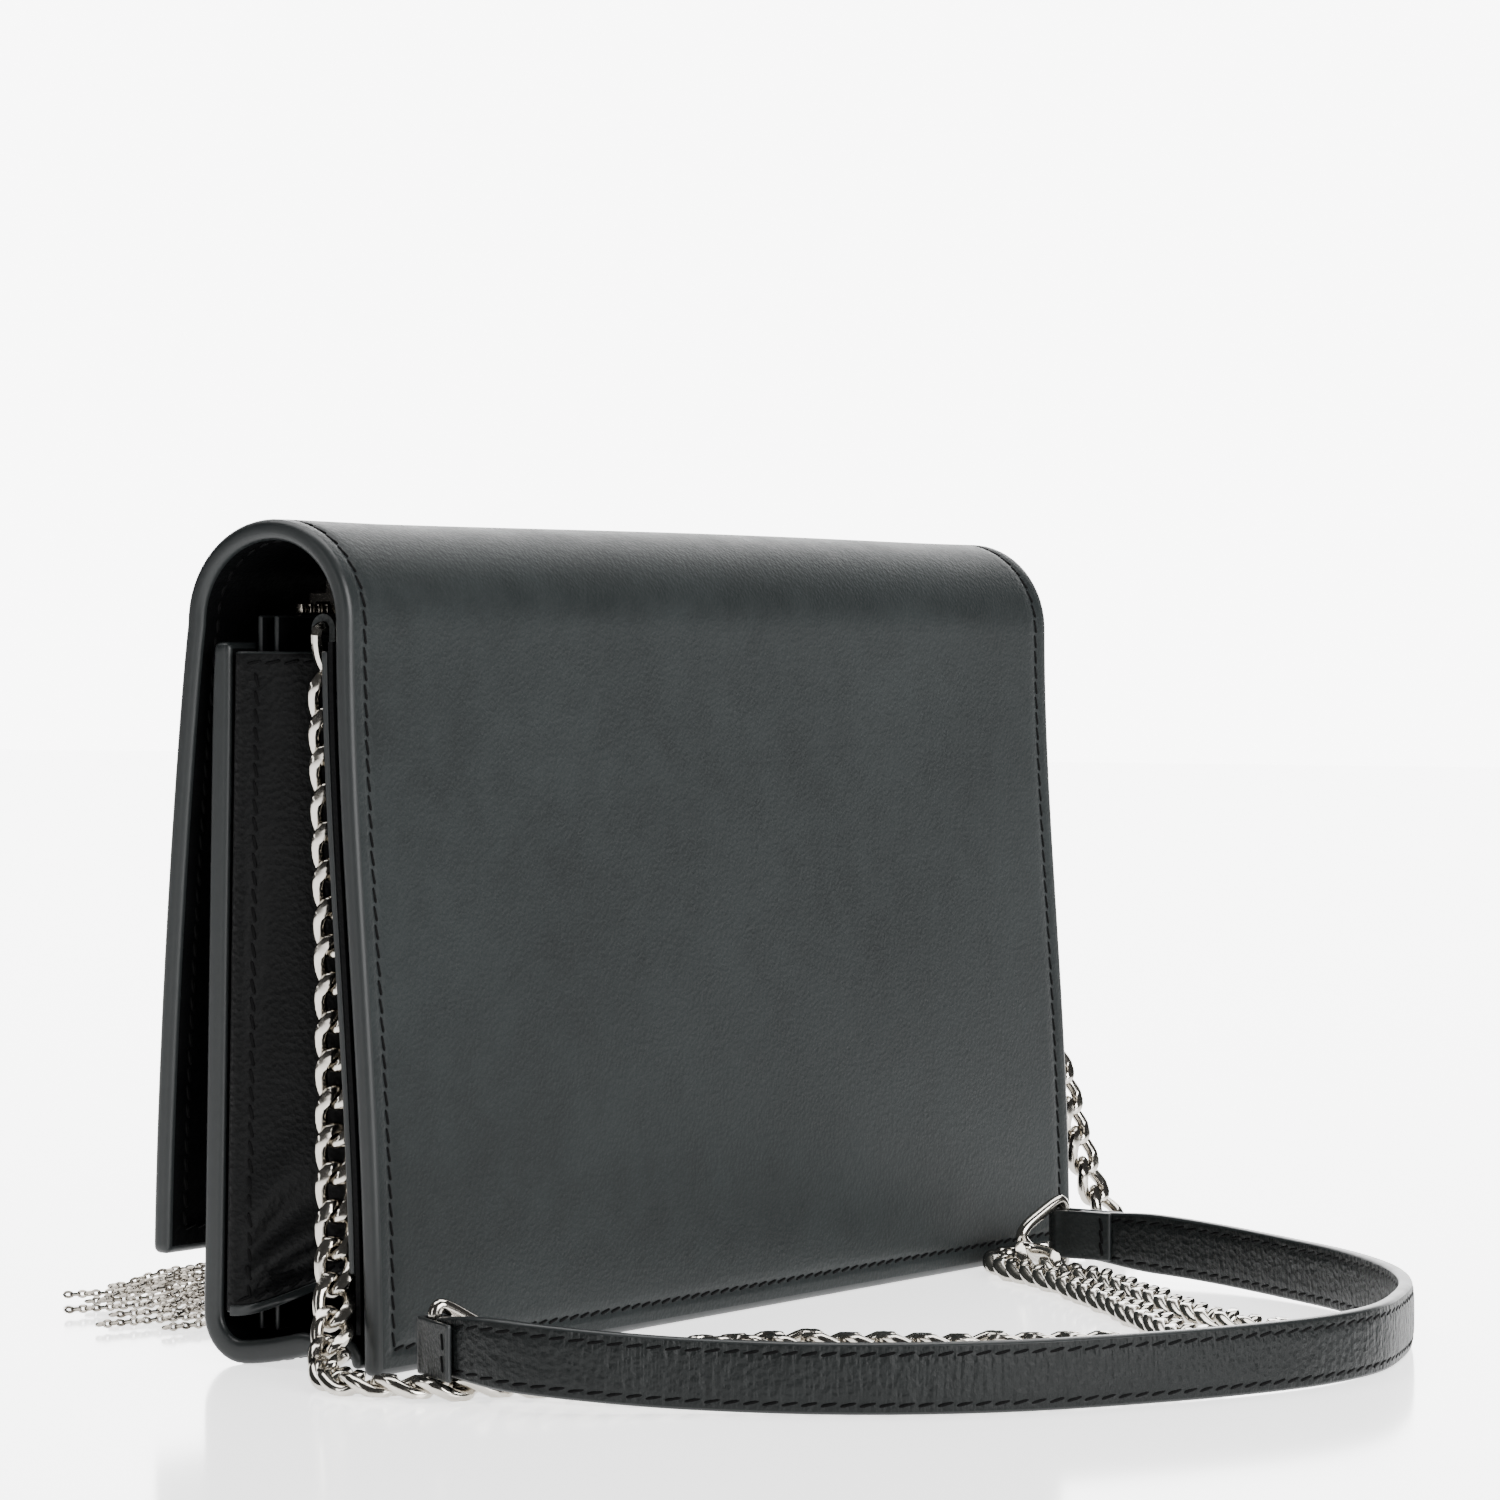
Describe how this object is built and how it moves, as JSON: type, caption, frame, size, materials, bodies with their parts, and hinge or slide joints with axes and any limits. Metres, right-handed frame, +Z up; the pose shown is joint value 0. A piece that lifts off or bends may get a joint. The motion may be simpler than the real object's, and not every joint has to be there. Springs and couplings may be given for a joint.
{
  "type": "chain wallet",
  "caption": "Slim dark leather flap wallet on a long curb chain, with a leather shoulder pad, folded-in side gussets and a tassel of fine chains on the flap",
  "frame": {"origin": "on the ground, under the middle of the wallet's width and depth, measured without the chain and the tassel", "axes": "+X along the width towards the wallet's right end, +Y from the flap towards the plain back, +Z up"},
  "size_m": [0.2194, 0.2124, 0.1206],
  "materials": {
    "outer_leather": "semi-matt, fine crinkled grain, tone on tone stitching and painted edges",
    "lining_leather": "matt, fine grain",
    "zip_cloth": "woven tape",
    "silver_metal": "polished nickel plate, slightly warm"
  },
  "bodies": {
    "body": {"anchor_ring_left": "silver_metal", "anchor_ring_right": "silver_metal", "anchor_tab_left": "outer_leather", "anchor_tab_right": "outer_leather", "back_lining": "lining_leather", "back_panel": "outer_leather", "back_wall": "lining_leather", "card_slip_1": "lining_leather", "card_slip_2": "lining_leather", "card_slip_3": "lining_leather", "chain_left": "silver_metal", "chain_right": "silver_metal", "front_base_panel": "outer_leather", "front_lining": "lining_leather", "gusset_left": "lining_leather", "gusset_right": "lining_leather", "pocket_back_wall": "lining_leather", "pocket_front_wall": "lining_leather", "snap_socket": "silver_metal", "snap_washer": "silver_metal", "strap_loop_left": "outer_leather", "strap_loop_right": "outer_leather", "strap_pad": "outer_leather", "strap_ring_left": "silver_metal", "strap_ring_right": "silver_metal", "zip_tape_back": "zip_cloth", "zip_tape_front": "zip_cloth", "zip_teeth": "silver_metal"},
    "fold": {"fold_rear_panel": "outer_leather", "fold_front_panel": "outer_leather", "fold_lining": "lining_leather"},
    "flap": {"flap_panel": "outer_leather", "flap_lining": "lining_leather", "snap_stud": "silver_metal", "badge": "silver_metal"},
    "tassel": {"tassel_link": "silver_metal", "tassel_cap": "silver_metal", "tassel_strand_1": "silver_metal", "tassel_strand_2": "silver_metal", "tassel_strand_3": "silver_metal", "tassel_strand_4": "silver_metal", "tassel_strand_5": "silver_metal", "tassel_strand_6": "silver_metal", "tassel_strand_7": "silver_metal"},
    "slider": {"zip_slider": "silver_metal"},
    "puller": {"zip_puller": "silver_metal"}
  },
  "joints": [
    {"name": "fold_open", "type": "hinge", "parent": "body", "child": "fold", "pos_m": [0, 0.01895, 0.106], "axis": [-1, 0, 0], "range_deg": [0, 80]},
    {"name": "flap_open", "type": "hinge", "parent": "fold", "child": "flap", "pos_m": [0, -0.01125, 0.106], "axis": [-1, 0, 0], "range_deg": [0, 80]},
    {"name": "tassel_swing", "type": "hinge", "parent": "flap", "child": "tassel", "pos_m": [0, -0.0201, 0.048], "axis": [-1, 0, 0], "range_deg": [0, 20]},
    {"name": "zip_slide", "type": "slide", "parent": "body", "child": "slider", "axis": [-1, 0, 0], "range_m": [0, 0.144]},
    {"name": "puller_swing", "type": "hinge", "parent": "slider", "child": "puller", "pos_m": [0.072, -0.0008, 0.1127], "axis": [1, 0, 0], "range_deg": [0, 35]}
  ],
  "couplings": [
    {"joint": "flap_open", "follows": "fold_open", "ratio": 1}
  ]
}
